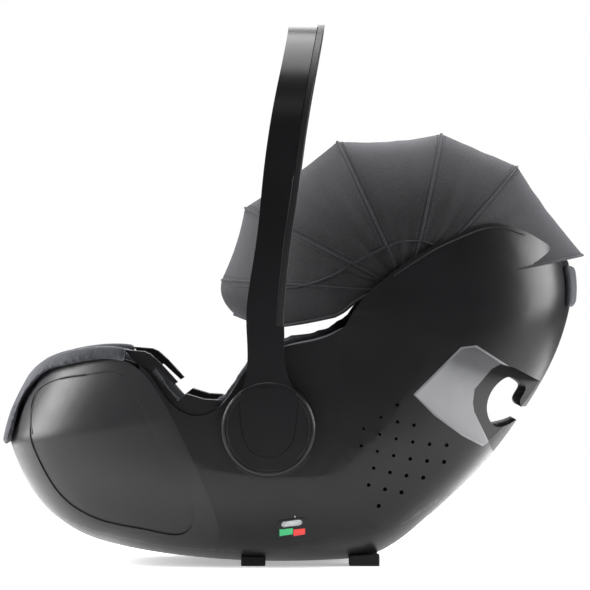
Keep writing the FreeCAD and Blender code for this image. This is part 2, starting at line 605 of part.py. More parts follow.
hub_disc = rod(HUB[0], HUB[1], HUB_RADIUS, -HUB_FACES[1], -HUB_FACES[0])
hub_disc = hub_disc.makeFillet(2.5, [e for e in hub_disc.Edges if e.BoundBox.YMax < -HUB_FACES[1] + 0.1])
handle_bow = handle_bow.fuse([hub_disc, mirrored(hub_disc)])
handle_bow = handle_bow.cut(rod(HUB[0], HUB[1], AXLE_RADIUS + RUNNING, -240, 240))
TONGUE = [(-64, 196), (-60, 160), (-53, 140), (-43, 131), (-30, 128.5), (-17, 131), (-7, 140), (0, 160),
          (4, 196)]
TONGUE_TOP = 207.0
BUTTON_GAP = 0.4
BUTTON_DEPTH = 4.0
BUTTON_TRAVEL = 2.5
WELL_FLOOR = -HUB_FACES[1] + 6.6


def tongue(by, y0, y1):
    """U-shaped press plate at the foot of each arm."""
    middle = HUB[0]
    outline = [(x + math.copysign(by, x - middle), z - by if z < TONGUE_TOP - 20 else z + by) for x, z in TONGUE]
    top = TONGUE_TOP + by
    return prism([spline(outline), line(outline[-1], (-8, top)), line((-8, top), (-52, top)),
                  line((-52, top), outline[0])], y0, y1)


handle_button = tongue(0, -HUB_FACES[1] - 0.5, -HUB_FACES[1] - 0.5 + BUTTON_DEPTH)
button_well = tongue(BUTTON_GAP, -HUB_FACES[1] - 5, WELL_FLOOR)
handle_bow = handle_bow.cut(button_well).cut(mirrored(button_well))
axle = rod(HUB[0], HUB[1], AXLE_RADIUS, WELL_FLOOR + 0.6, -195.1).fuse(rod(HUB[0], HUB[1], 24, -197.6, -195.1))
stop_ring = rod(HUB[0], HUB[1], HUB_RADIUS + 3.5, -197.6, -195.4)
stop_ring = stop_ring.cut(rod(HUB[0], HUB[1], HUB_RADIUS - 8, -230, -180))
ring_sector = polygon([HUB, (HUB[0] - 60, HUB[1] - 72), (HUB[0], HUB[1] - 110), (HUB[0] + 80, HUB[1] - 50)],
                      -240, -180)


# ---------------------------------------------------------------- canopy
ARCH_TURNS = [11.25 * i for i in range(17)]
HOOP_TURNS = [0, 2, 4, 8, 14] + ARCH_TURNS[2:-2] + [166, 172, 176, 178, 180]


def arch_points(angle, radius, half_width, inset, turns=ARCH_TURNS, neck=0.0):
    """Points of an arch in the plane through the pivot axis at an angle, its ends drawn in by the neck."""
    cx, cz = CANOPY_PIVOT
    dx, dz = math.cos(math.radians(angle)), math.sin(math.radians(angle))
    points = []
    for turn in turns:
        c, s = math.cos(math.radians(turn)), math.sin(math.radians(turn))
        r = (radius - inset) * abs(s) ** (2 / CANOPY_ROUNDNESS)
        drawn_in = neck * min(1.0, max(0.0, (HOOP_NECK[1] - r) / (HOOP_NECK[1] - HOOP_NECK[0])))
        y = (half_width - inset) * abs(c) ** (2 / CANOPY_ROUNDNESS) - drawn_in
        points.append(Vector(cx + r * dx, -math.copysign(y, c), cz + r * dz))
    return points


def arch_wire(angle, radius, half_width, wall, *shape):
    outer = arch_points(angle, radius, half_width, 0, *shape)
    inner = arch_points(angle, radius, half_width, wall, *shape)
    edges = [spline(outer), Part.makeLine(outer[-1], inner[-1]), spline(inner[::-1]),
             Part.makeLine(inner[0], outer[0])]
    return Part.Wire(edges)


def hoop(index, angle, radius):
    """Flat hoop with an eye at each end for the pivot pin."""
    half_width = CANOPY_HALF_WIDTH - HOOP_INSET
    neck = HOOP_PITCH * index
    normal = Vector(-math.sin(math.radians(angle)), 0, math.cos(math.radians(angle)))
    wire = arch_wire(angle, radius - HOOP_INSET, half_width, HOOP_WALL, HOOP_TURNS, neck)
    wire.translate(normal * (-HOOP_WIDTH / 2))
    shape = Part.Face(wire).extrude(normal * HOOP_WIDTH)
    eye = rod(*CANOPY_PIVOT, EYE_RADIUS, neck - half_width, neck - half_width + HOOP_WALL)
    shape = shape.fuse([eye, mirrored(eye)])
    return shape.cut(rod(*CANOPY_PIVOT, PIN_RADIUS + RUNNING, -260, 260))


def canopy_sheet(first, last, sag):
    """Fabric between two hoop planes, pulled in half way."""
    (a0, r0), (a1, r1) = first, last
    middle = (a0 + a1) / 2
    low = (r0 + r1) / 2 * sag
    quarter = 0.75 * sag + 0.25
    stations = [(a0, r0), ((a0 + middle) / 2, (0.75 * r0 + 0.25 * r1) * quarter), (middle, low),
                ((a1 + middle) / 2, (0.25 * r0 + 0.75 * r1) * quarter), (a1, r1)]
    wires = [arch_wire(a, r, CANOPY_HALF_WIDTH, FABRIC) for a, r in stations]
    sheet = Part.makeLoft(wires, True, False)
    eyelet = rod(*CANOPY_PIVOT, EYELET, -260, 260)
    return sheet.cut(eyelet)


edges_of_canopy = [CANOPY_HEM] + [(a, r) for _, a, r in HOOPS] + [CANOPY_REAR]
sheet_names = ["canopy_hem", "canopy_panel_front", "canopy_panel_second", "canopy_panel_third",
               "canopy_panel_fourth", "canopy_panel_rear"]
sheet_sags = [0.99, 0.965, SAG, SAG - 0.005, 0.97, SAG]
ANGLE_GAP = 0.15                 # keeps neighbouring sheets just apart
# The fabric's rear corners straddle the rear panel's rim, so they are slit for it.
fairing_clear = prism(rear_outline(), -wide, wide)
fairing_clear.translate(Vector(0, 0, 2 * SEAM_GAP))
fairing_clear = fairing_clear.common(body(SEAM_GAP)).cut(body(-SKIN - SEAM_GAP))
for name, first, last, sag in zip(sheet_names, edges_of_canopy, edges_of_canopy[1:], sheet_sags):
    sheet = canopy_sheet((first[0] - ANGLE_GAP, first[1]), (last[0] + ANGLE_GAP, last[1]), sag)
    keep(name, largest(sheet.cut(fairing_clear)))
for index, (name, angle, radius) in enumerate(HOOPS):
    keep("hoop_" + name, hoop(index, angle, radius))
pivot_pin = rod(*CANOPY_PIVOT, PIN_RADIUS, -191.2, -161.0).fuse(rod(*CANOPY_PIVOT, 12, -191.2, -184.0))
pivot_pin = pivot_pin.common(inside_shell)
keep("canopy_pins", pivot_pin, mirrored(pivot_pin))

# ---------------------------------------------------------------- store the shell's pieces
keep("front_fairing", front_fairing)
keep("rear_fairing", rear_fairing)
keep("lower_shell", lower_shell)
keep("side_pod_left", near(side_pods))
keep("side_pod_right", near(side_pods, 1))
keep("belt_pocket_left", near(pockets))
keep("belt_pocket_right", near(pockets, 1))
keep("rear_belt_channel", channel_parts)
keep("seat_bucket", bucket)
keep("foam_liner", foam)
keep("seat_pad", pad.cut(crotch_slot))
keep("headrest_shell", shell_outer.cut(shell_inner).cut(strap_slots))
keep("headrest_pad", pad_outer.cut(pad_inner).cut(strap_slots))
both_sides("shoulder_strap", mirrored(shoulder_strap))
both_sides("shoulder_pad", mirrored(shoulder_pad))
both_sides("lap_strap", mirrored(lap_strap))
keep("crotch_strap", crotch_strap)
keep("crotch_pad", crotch_pad)
keep("buckle_housing", buckle_housing)
keep("buckle_button", buckle_button)
keep("buckle_tongues", *tongues)
keep("adjuster_housing", adjuster_housing)
keep("adjuster_button", adjuster_button)
keep("cover_edge", cover_edge)
keep("front_cover_lip", front_lip)
keep("rear_cover_tab", rear_tab)
keep("lap_belt_guides", belt_guides)
keep("rubber_feet", *feet)
keep("level_frames", level_frame, mirrored(level_frame))
keep("level_windows", level_window, mirrored(level_window))
both_sides("level_bead", level_bead)
keep("level_scales", *level_scale, *[mirrored(half) for half in level_scale])
keep("headrest_pull", headrest_pull())
keep("handle_bow", handle_bow)
keep("handle_rear_trim", rear_trim)
keep("handle_grip", grip)
both_sides("handle_button", handle_button)
keep("hub_axles", axle, mirrored(axle))
hub_stop = stop_ring.common(ring_sector)
keep("hub_stops", hub_stop, mirrored(hub_stop))

if __name__ == "__main__":
    for name, shape in parts.items():
        shape.exportStep("parts/" + name + ".step")
        print(name, "solids", len(shape.Solids), "valid", shape.isValid(), "volume", round(shape.Volume / 1000, 1))
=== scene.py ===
"""Infant car seat: looks, in metres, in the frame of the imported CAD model."""
import math

import bpy
import numpy as np
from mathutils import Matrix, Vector, noise
from mathutils.bvhtree import BVHTree


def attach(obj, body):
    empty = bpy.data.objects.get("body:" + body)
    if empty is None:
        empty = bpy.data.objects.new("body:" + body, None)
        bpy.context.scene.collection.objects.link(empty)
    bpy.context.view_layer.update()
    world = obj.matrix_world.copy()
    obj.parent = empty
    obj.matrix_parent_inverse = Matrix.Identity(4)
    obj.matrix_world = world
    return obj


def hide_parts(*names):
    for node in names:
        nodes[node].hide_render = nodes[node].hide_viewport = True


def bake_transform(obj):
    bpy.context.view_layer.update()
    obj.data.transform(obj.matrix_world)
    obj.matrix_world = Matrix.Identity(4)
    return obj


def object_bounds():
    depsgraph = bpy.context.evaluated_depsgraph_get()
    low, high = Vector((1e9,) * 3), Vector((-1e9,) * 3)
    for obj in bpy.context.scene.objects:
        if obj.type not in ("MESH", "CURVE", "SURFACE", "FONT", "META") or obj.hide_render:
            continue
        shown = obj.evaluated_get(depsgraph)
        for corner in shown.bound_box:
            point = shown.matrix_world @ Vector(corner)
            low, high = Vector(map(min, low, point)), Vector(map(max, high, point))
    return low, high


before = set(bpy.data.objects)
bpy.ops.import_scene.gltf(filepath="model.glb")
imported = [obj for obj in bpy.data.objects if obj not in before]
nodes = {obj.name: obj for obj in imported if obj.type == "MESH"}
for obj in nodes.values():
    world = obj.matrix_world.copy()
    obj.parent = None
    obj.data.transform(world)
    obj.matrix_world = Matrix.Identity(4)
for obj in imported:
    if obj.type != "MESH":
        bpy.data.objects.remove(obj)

cad_low, cad_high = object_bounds()
scene = bpy.context.scene
MM = 0.001


# ------------------------------------------------------------------ material tools
class Shader:
    """A principled material with short calls for the nodes used here."""

    def __init__(self, name, **sockets):
        self.material = bpy.data.materials.new(name)
        self.material.use_nodes = True
        self.tree = self.material.node_tree
        self.bsdf = self.tree.nodes["Principled BSDF"]
        for key, value in sockets.items():
            self.bsdf.inputs[key.replace("_", " ")].default_value = value
        self.coords = self.tree.nodes.new("ShaderNodeTexCoord")

    def node(self, kind, **values):
        made = self.tree.nodes.new(kind)
        for key, value in values.items():
            if hasattr(made, key) and key not in made.inputs:
                setattr(made, key, value)
            else:
                made.inputs[key.replace("_", " ")].default_value = value
        return made

    def link(self, a, b):
        self.tree.links.new(a, b)

    def noise(self, scale, detail=3.0, rough=0.5, vector=None):
        made = self.node("ShaderNodeTexNoise", Scale=scale, Detail=detail, Roughness=rough)
        self.link(vector or self.coords.outputs["Object"], made.inputs["Vector"])
        return made.outputs["Fac"]

    def scaled(self, x, y, z, source="Object"):
        made = self.node("ShaderNodeMapping")
        made.inputs["Scale"].default_value = (x, y, z)
        self.link(self.coords.outputs[source], made.inputs["Vector"])
        return made.outputs["Vector"]

    def ramp(self, factor, low, high, start=0.0, end=1.0):
        made = self.node("ShaderNodeValToRGB")
        made.color_ramp.elements[0].position, made.color_ramp.elements[1].position = start, end
        made.color_ramp.elements[0].color = (*low, 1) if len(low) == 3 else low
        made.color_ramp.elements[1].color = (*high, 1) if len(high) == 3 else high
        self.link(factor, made.inputs["Fac"])
        return made.outputs["Color"]

    def number(self, factor, low, high, start=0.0, end=1.0):
        made = self.node("ShaderNodeMapRange")
        for key, value in (("From Min", start), ("From Max", end), ("To Min", low), ("To Max", high)):
            made.inputs[key].default_value = value
        self.link(factor, made.inputs["Value"])
        return made.outputs["Result"]

    def math(self, operation, a, b=None):
        made = self.node("ShaderNodeMath", operation=operation)
        for i, value in enumerate((a, b)):
            if value is None:
                continue
            if isinstance(value, (int, float)):
                made.inputs[i].default_value = value
            else:
                self.link(value, made.inputs[i])
        return made.outputs["Value"]

    def mix(self, factor, a, b):
        made = self.node("ShaderNodeMix", data_type="RGBA")
        self.link(factor, made.inputs["Factor"])
        for socket, value in ((made.inputs["A"], a), (made.inputs["B"], b)):
            if isinstance(value, tuple):
                socket.default_value = (*value, 1)
            else:
                self.link(value, socket)
        return made.outputs["Result"]

    def bump(self, height, strength, distance, under=None):
        made = self.node("ShaderNodeBump", Strength=strength, Distance=distance)
        self.link(height, made.inputs["Height"])
        if under is not None:
            self.link(under, made.inputs["Normal"])
        return made.outputs["Normal"]

    def voronoi(self, scale, feature="F1"):
        made = self.node("ShaderNodeTexVoronoi", feature=feature, Scale=scale)
        self.link(self.coords.outputs["Object"], made.inputs["Vector"])
        return made.outputs["Distance"]


def plastic(name, dark, light, roughness=0.36, spread=0.06, grain=0.10, grain_scale=2600, wear=0.004,
            coat=0.0):
    """Moulded plastic: cloudy colour, fine spark-eroded grain, uneven gloss and rubbed edges."""
    s = Shader(name, Specular_IOR_Level=0.2, Coat_Weight=coat, Coat_Roughness=0.18)
    cloud = s.ramp(s.noise(7, 4), dark, light, 0.3, 0.72)
    edge = s.node("ShaderNodeNewGeometry").outputs["Pointiness"]
    patchy = s.number(s.noise(60, 5), 0.2, 1, 0.35, 0.65)
    rubbed = s.math("MULTIPLY", s.number(edge, 0, 1, 0.60, 0.72), patchy)
    worn = tuple(min(1.0, c * 1.5 + wear) for c in light)
    s.link(s.mix(rubbed, cloud, worn), s.bsdf.inputs["Base Color"])
    smear = s.noise(5, 5, 0.62, s.scaled(1, 1, 2.5))
    s.link(s.number(smear, roughness - spread, roughness + spread, 0.3, 0.7), s.bsdf.inputs["Roughness"])
    pits = s.bump(s.noise(grain_scale, 2), grain, 0.0003)
    s.link(s.bump(s.noise(9, 2), 0.05, 0.002, pits), s.bsdf.inputs["Normal"])
    return s.material


def fabric(name, dark, light, weave, depth, sheen):
    """Cloth: threads from two stretched noises and a cell pattern, with mottled colour and sheen."""
    s = Shader(name, Sheen_Weight=sheen, Sheen_Roughness=0.45, Specular_IOR_Level=0.25)
    s.bsdf.inputs["Sheen Tint"].default_value = (0.75, 0.75, 0.85, 1)
    cells = s.voronoi(weave, "SMOOTH_F1")
    threads = s.noise(weave * 0.9, 2, 0.4, s.scaled(0.25, 1, 1))
    cross = s.noise(weave * 0.9, 2, 0.4, s.scaled(1, 0.25, 0.6))
    height = s.math("ADD", s.math("MULTIPLY", cells, -1.1), s.math("ADD", threads, cross))
    mottle = s.math("MULTIPLY", s.math("ADD", s.noise(weave * 0.35, 3), s.noise(14, 4)), 0.5)
    s.link(s.ramp(mottle, dark, light, 0.34, 0.68), s.bsdf.inputs["Base Color"])
    s.link(s.number(height, 0.78, 0.9, 0.2, 1.4), s.bsdf.inputs["Roughness"])
    wrinkle = s.bump(s.noise(22, 3, 0.55), 0.2, 0.0025)
    s.link(s.bump(height, depth, 0.0005, wrinkle), s.bsdf.inputs["Normal"])
    return s.material


def webbing_material():
    """Seat-belt webbing: ribs along its length and fine picks across."""
    s = Shader("webbing_weave", Sheen_Weight=0.2, Specular_IOR_Level=0.4)
    uv = s.scaled(1, 1, 1, "UV")
    ribs = s.node("ShaderNodeTexWave", wave_type="BANDS", bands_direction="X", Scale=5.5, Distortion=0.3)
    s.link(uv, ribs.inputs["Vector"])
    picks = s.node("ShaderNodeTexWave", wave_type="BANDS", bands_direction="Y", Scale=160, Distortion=0.8)
    s.link(uv, picks.inputs["Vector"])
    raised = s.math("MULTIPLY", ribs.outputs["Fac"], 0.6)
    height = s.math("ADD", raised, s.math("MULTIPLY", picks.outputs["Fac"], 0.5))
    s.link(s.ramp(height, (0.006, 0.006, 0.007), (0.03, 0.03, 0.033)), s.bsdf.inputs["Base Color"])
    s.link(s.number(height, 0.62, 0.45), s.bsdf.inputs["Roughness"])
    s.link(s.bump(height, 0.5, 0.0004), s.bsdf.inputs["Normal"])
    return s.material


def foam_material():
    """Expanded bead foam: pressed beads a few millimetres across."""
    s = Shader("bead_foam", Roughness=0.85)
    cells = s.voronoi(260)
    s.link(s.ramp(cells, (0.007, 0.007, 0.008), (0.020, 0.020, 0.022), 0.0, 0.8), s.bsdf.inputs["Base Color"])
    s.link(s.bump(cells, 0.6, 0.001), s.bsdf.inputs["Normal"])
    return s.material


def printed_scale():
    """Green and red level scale, side by side."""
    s = Shader("level_print", Roughness=0.4)
    x = s.node("ShaderNodeSeparateXYZ")
    s.link(s.coords.outputs["Object"], x.inputs["Vector"])
    split = s.math("GREATER_THAN", x.outputs["X"], -0.0021)
    grime = s.noise(900, 3)
    green = s.ramp(grime, (0.02, 0.30, 0.10), (0.03, 0.42, 0.15))
    red = s.ramp(grime, (0.50, 0.02, 0.02), (0.66, 0.04, 0.03))
    s.link(s.mix(split, green, red), s.bsdf.inputs["Base Color"])
    s.link(s.bump(grime, 0.1, 0.0002), s.bsdf.inputs["Normal"])
    return s.material


def metal(name, tint):
    """Brushed metal, with fine scratches along its length."""
    s = Shader(name, Metallic=1.0)
    brushed = s.noise(300, 4, 0.6, s.scaled(1, 0.05, 1))
    s.link(s.ramp(brushed, tuple(c * 0.8 for c in tint), tint), s.bsdf.inputs["Base Color"])
    s.link(s.number(brushed, 0.25, 0.42), s.bsdf.inputs["Roughness"])
    s.link(s.bump(brushed, 0.08, 0.0002), s.bsdf.inputs["Normal"])
    return s.material


def clear_window():
    """Thin clear plastic, slightly scuffed."""
    s = Shader("clear_window", Roughness=0.05, IOR=1.47, Alpha=0.35)
    tint = s.ramp(s.noise(200, 3), (0.55, 0.58, 0.6), (0.75, 0.77, 0.78))
    s.link(tint, s.bsdf.inputs["Base Color"])
    s.link(s.number(s.noise(500, 4), 0.03, 0.14), s.bsdf.inputs["Roughness"])
    return s.material


black = plastic("shell_black", (0.0045, 0.0045, 0.005), (0.008, 0.008, 0.009), 0.34)
grey = plastic("shell_grey", (0.010, 0.010, 0.011), (0.017, 0.017, 0.018), 0.40)
inner = plastic("inner_black", (0.006, 0.006, 0.007), (0.012, 0.012, 0.013), 0.52, grain=0.25,
                grain_scale=1500)
pocket = plastic("pocket_grey", (0.10, 0.10, 0.105), (0.16, 0.16, 0.165), 0.42)
gloss = plastic("handle_black", (0.004, 0.004, 0.0045), (0.008, 0.008, 0.009), 0.3, 0.02, 0.05, coat=0.06)
trim = plastic("handle_trim", (0.008, 0.008, 0.009), (0.014, 0.014, 0.015), 0.45, grain=0.2)
rubber = plastic("rubber", (0.008, 0.008, 0.008), (0.016, 0.016, 0.016), 0.7, grain=0.35, grain_scale=1200)
red = plastic("button_red", (0.42, 0.012, 0.012), (0.55, 0.02, 0.018), 0.33, wear=0.05)
bead = plastic("bead_grey", (0.30, 0.30, 0.31), (0.42, 0.42, 0.43), 0.25)
canopy_cloth = fabric("canopy_cloth", (0.0065, 0.0063, 0.0072), (0.0150, 0.0146, 0.0162), 900, 0.35, 0.10)
cover_cloth = fabric("cover_cloth", (0.010, 0.011, 0.0135), (0.023, 0.024, 0.028), 520, 0.6, 0.13)
insert_cloth = fabric("insert_cloth", (0.022, 0.023, 0.027), (0.046, 0.047, 0.053), 380, 0.7, 0.15)
binding_cloth = fabric("binding_cloth", (0.007, 0.007, 0.008), (0.016, 0.016, 0.018), 1100, 0.4, 0.12)
webbing = webbing_material()
foam = foam_material()
steel = metal("brushed_steel", (0.55, 0.55, 0.57))


# ------------------------------------------------------------------ mesh tools
def add(name, points, faces, material, smooth=True):
    """New object from points and faces."""
    mesh = bpy.data.meshes.new(name)
    mesh.from_pydata([tuple(p) for p in points], [], faces)
    mesh.validate()
    made = bpy.data.objects.new(name, mesh)
    scene.collection.objects.link(made)
    if material:
        mesh.materials.append(material)
    if smooth:
        mesh.shade_smooth()
    return made


def grid_faces(rows, columns, wrap=False):
    """Quads over rows of points; wrap joins each row's end to its start."""
    faces = []
    for i in range(rows - 1):
        for j in range(columns if wrap else columns - 1):
            k = (j + 1) % columns
            faces.append((i * columns + j, i * columns + k, (i + 1) * columns + k, (i + 1) * columns + j))
    return faces


def bake(made):
    """Applies every modifier."""
    depsgraph = bpy.context.evaluated_depsgraph_get()
    mesh = bpy.data.meshes.new_from_object(made.evaluated_get(depsgraph))
    made.modifiers.clear()
    made.data = mesh
    return made


def tube(name, path, radius, material, sides=10):
    """Round bead along a path."""
    path = [Vector(p) for p in path]
    count = len(path)
    points = []
    normal = None
    for i, p in enumerate(path):
        tangent = (path[min(i + 1, count - 1)] - path[max(i - 1, 0)]).normalized()
        if normal is None:
            normal = tangent.orthogonal().normalized()
        else:
            normal = (normal - tangent * normal.dot(tangent)).normalized()
        side = tangent.cross(normal)
        for j in range(sides):
            turn = 2 * math.pi * j / sides
            points.append(p + (normal * math.cos(turn) + side * math.sin(turn)) * radius)
    faces = grid_faces(count, sides, True)
    faces += [tuple(range(sides))[::-1], tuple(range((count - 1) * sides, count * sides))]
    return add(name, points, faces, material)


def smooth_path(points, per=8):
    """Catmull-Rom curve through points of any dimension."""
    p = np.array(points, float)
    p = np.vstack([2 * p[0] - p[1], p, 2 * p[-1] - p[-2]])
    out = []
    for i in range(1, len(p) - 2):
        for t in np.linspace(0, 1, per, endpoint=False):
            a, b, c, d = p[i - 1], p[i], p[i + 1], p[i + 2]
            out.append(0.5 * (2 * b + (c - a) * t + (2 * a - 5 * b + 4 * c - d) * t * t
                              + (3 * b - a - 3 * c + d) * t ** 3))
    out.append(p[-2])
    return np.array(out)


def surface_of(name):
    """Search tree of a CAD node's surface, for dropping points on to it."""
    mesh = nodes[name].data
    points = [v.co.copy() for v in mesh.vertices]
    return BVHTree.FromPolygons(points, [tuple(p.vertices) for p in mesh.polygons])


SHARP_ANGLE = math.radians(28)


def dress(name, material, bevel=0.0):
    """Keeps a CAD node: its own material, smooth faces and softened edges."""
    made = nodes[name]
    made.data.materials.clear()
    made.data.materials.append(material)
    weld = made.modifiers.new("weld", "WELD")
    weld.merge_threshold = 0.00002
    if bevel:
        soft = made.modifiers.new("soft_edges", "BEVEL")
        soft.width, soft.segments, soft.limit_method = bevel, 3, "ANGLE"
        soft.angle_limit = SHARP_ANGLE
        soft.use_clamp_overlap = True
        soft.miter_outer = "MITER_ARC"
        soft.harden_normals = False
    normals = made.modifiers.new("normals", "WEIGHTED_NORMAL")
    normals.keep_sharp = False
    return made


# ------------------------------------------------------------------ hard parts that keep their CAD shape
for name in ("rear_fairing", "lower_shell", "side_pod_left", "side_pod_right", "lap_belt_guides"):
    dress(name, black, 0.0006)
dress("front_fairing", grey, 0.0008)
for name in ("belt_pocket_left", "belt_pocket_right"):
    dress(name, pocket, 0.0008)
for name in ("rear_belt_channel", "headrest_shell", "headrest_pull", "hub_stops", "adjuster_housing",
             "adjuster_button", "seat_bucket", "level_frames", "buckle_housing", "buckle_tongues"):
    dress(name, inner, 0.0005)
for name in ("hoop_front", "hoop_second", "hoop_third", "hoop_fourth", "hoop_rear"):
    dress(name, inner, 0.0004)
dress("rubber_feet", rubber, 0.0015)
dress("handle_grip", rubber, 0.0005)
dress("handle_bow", gloss, 0.003)
dress("handle_rear_trim", trim, 0.0008)
for name in ("handle_button_left", "handle_button_right"):
    dress(name, gloss, 0.0008)
dress("buckle_button", red, 0.0004)
dress("foam_liner", foam)
for name in ("canopy_pins", "hub_axles"):
    dress(name, steel, 0.0004)
dress("level_scales", printed_scale())
dress("level_windows", clear_window())
for name in ("level_bead_left", "level_bead_right"):
    dress(name, bead, 0.0003)
for name in ("seat_pad", "cover_edge", "front_cover_lip", "rear_cover_tab", "headrest_pad",
             "shoulder_pad_left", "shoulder_pad_right", "crotch_pad", "canopy_hem", "canopy_panel_front",
             "canopy_panel_second", "canopy_panel_third", "canopy_panel_fourth", "canopy_panel_rear"):
    dress(name, cover_cloth)
for name in ("shoulder_strap_left", "shoulder_strap_right", "lap_strap_left", "lap_strap_right",
             "crotch_strap"):
    dress(name, webbing)


# ------------------------------------------------------------------ canopy
PIVOT = Vector((0.128, 0, 0.3136))
CANOPY_HALF, CANOPY_POWER, EYELET = 0.183, 2.7, 0.030
# angle above the foot-end horizon and radius at the middle, from the rear edge round to the front hoop
RIBS = [(12.0, 0.2122), (48.3, 0.197), (77.0, 0.190), (114.1, 0.193), (152.0, 0.211), (176.0, 0.214)]
RIB_BODIES = ["shell", "hoop_rear", "hoop_fourth", "hoop_third", "hoop_second", "hoop_front"]
SAGS = [0.935, 0.968, 0.925, 0.93, 0.965]
PANELS = ["canopy_panel_rear", "canopy_panel_fourth", "canopy_panel_third", "canopy_panel_second",
          "canopy_panel_front"]


def arch_point(turn, angle, radius, half=CANOPY_HALF):
    """Point round a hoop-shaped arch that leans at an angle, from one pivot (0) to the other (pi)."""
    c, s = math.cos(turn), math.sin(turn)
    r = radius * abs(s) ** (2 / CANOPY_POWER)
    y = -half * math.copysign(abs(c) ** (2 / CANOPY_POWER), c)
    a = math.radians(angle)
    return PIVOT + Vector((r * math.cos(a), y, r * math.sin(a)))


def even_turns(count, radius=0.2):
    """Turns round an arch that are evenly spaced along it, from eyelet to eyelet."""
    first = math.asin((EYELET / radius) ** (CANOPY_POWER / 2))
    dense = np.linspace(first, math.pi - first, 3000)
    points = np.array([arch_point(t, 90, radius) for t in dense])
    length = np.concatenate([[0], np.cumsum(np.linalg.norm(np.diff(points, axis=0), axis=1))])
    return np.interp(np.linspace(0, length[-1], count), length, dense)


TURNS = even_turns(121)


def panel_radius(index, u):
    """Radius of a canopy panel between its two hoops, sagging towards the middle."""
    r0, r1 = RIBS[index][1], RIBS[index + 1][1]
    return (r0 + (r1 - r0) * u) * (1 - (1 - SAGS[index]) * 4 * u * (1 - u))


def cloth_sheet(made, node):
    """Gives a fabric sheet its thickness and lets it take the CAD node's place."""
    thick = made.modifiers.new("thickness", "SOLIDIFY")
    thick.thickness, thick.offset = 0.0011, -1
    bake(made)
    made.data.shade_smooth()
    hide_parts(node)


columns = 33
for index, name in enumerate(PANELS):
    (a0, r0), (a1, r1) = RIBS[index], RIBS[index + 1]
    points = []
    for turn in TURNS:
        for k in range(columns):
            u = k / (columns - 1)
            angle = a0 + (a1 - a0) * u
            # radial folds that gather towards the pivot
            fold = 0.0016 * math.sin(math.pi * u) ** 1.5 * noise.noise(Vector((angle * 0.16, 3.1 * index,
                                                                              1.3 * math.sin(turn))))
            fold *= 1.3 - math.sin(turn)
            points.append(arch_point(turn, angle, panel_radius(index, u) + fold * 2, CANOPY_HALF + fold * 2))
    short_name = name.split("_")[-1]
    made = add("canopy_" + short_name + "_fabric", points, grid_faces(len(TURNS), columns), canopy_cloth)
    made.data.flip_normals()
    top = [arch_point(math.pi / 2, a0 + (a1 - a0) * k / 20, panel_radius(index, k / 20)) for k in range(21)]
    side = [arch_point(t, a0, max(r0, r1)) for t in TURNS]
    cloth_sheet(made, name)
    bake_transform(made)

# The hem hangs from the front hoop: its lower edge dips towards the seat's sides.
HEM_EDGE = ([0.030, 0.045, 0.075, 0.087, 0.100, 0.127, 0.148, 0.185, 0.198, 0.214],
            [176.5, 183.3, 196.3, 197.8, 197.1, 195.8, 194.7, 189.5, 187.4, 186.6])


def hem_point(turn, u):
    """Point of the hem, from the front hoop (0) to its lower edge (1)."""
    radius = 0.214 - 0.014 * u ** 2.2
    r = radius * math.sin(turn) ** (2 / CANOPY_POWER)
    low = np.interp(r, *HEM_EDGE)
    return arch_point(turn, 176.0 + (low - 176.0) * u, radius + 0.002 * math.sin(math.pi * u))


points = [hem_point(t, k / 14) for t in TURNS for k in range(15)]
hem = add("canopy_hem_fabric", points, grid_faces(len(TURNS), 15), canopy_cloth)
hem.data.flip_normals()
cloth_sheet(hem, "canopy_hem")
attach(hem, "hoop_front")

bindings = [("canopy_hem_binding", [hem_point(t, 1.0) for t in TURNS], 0.0019, "hoop_front"),
            ("canopy_rear_binding", [arch_point(t, 12.0, 0.2118) for t in TURNS], 0.0016, "shell")]
for (angle, radius), body in list(zip(RIBS, RIB_BODIES))[1:]:
    over_hoop = [arch_point(t, angle, radius + 0.0002) for t in TURNS]
    bindings.append(("canopy_piping_" + body, over_hoop, 0.0013, body))
for name, path, radius, body in bindings:
    piece = tube(name, path, radius, binding_cloth, 8)
    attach(piece, body)


STITCH_PITCH, STITCH_LENGTH, STITCH_RADIUS, STITCH_LIFT = 0.0042, 0.0027, 0.00032, 0.0002


def stitch_row(name, path, body, thread):
    """Sewn stitches along a path of (point, normal)."""
    points, faces = [], []
    travelled, due = 0.0, 0.002
    for (a, na), (b, nb) in zip(path, path[1:]):
        step = (b - a).length
        while step and due <= travelled + step:
            share = (due - travelled) / step
            centre = a.lerp(b, share) + na.lerp(nb, share).normalized() * STITCH_LIFT
            along, out = (b - a).normalized(), na.lerp(nb, share).normalized()
            side = along.cross(out)
            base = len(points)
            for t, w in ((-0.5, 0.25), (-0.3, 1.0), (0.3, 1.0), (0.5, 0.25)):
                for k in range(5):
                    turn = 2 * math.pi * k / 5
                    around = out * math.cos(turn) + side * math.sin(turn)
                    points.append(centre + along * (STITCH_LENGTH * t) + around * STITCH_RADIUS * w)
            faces += [(base + 5 * i + k, base + 5 * i + (k + 1) % 5, base + 5 * i + 5 + (k + 1) % 5,
                       base + 5 * i + 5 + k) for i in range(3) for k in range(5)]
            faces += [tuple(base + k for k in range(5))[::-1], tuple(base + 15 + k for k in range(5))]
            due += STITCH_PITCH
        travelled += step
    made = add(name, points, faces, thread)
    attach(made, body)
    return made


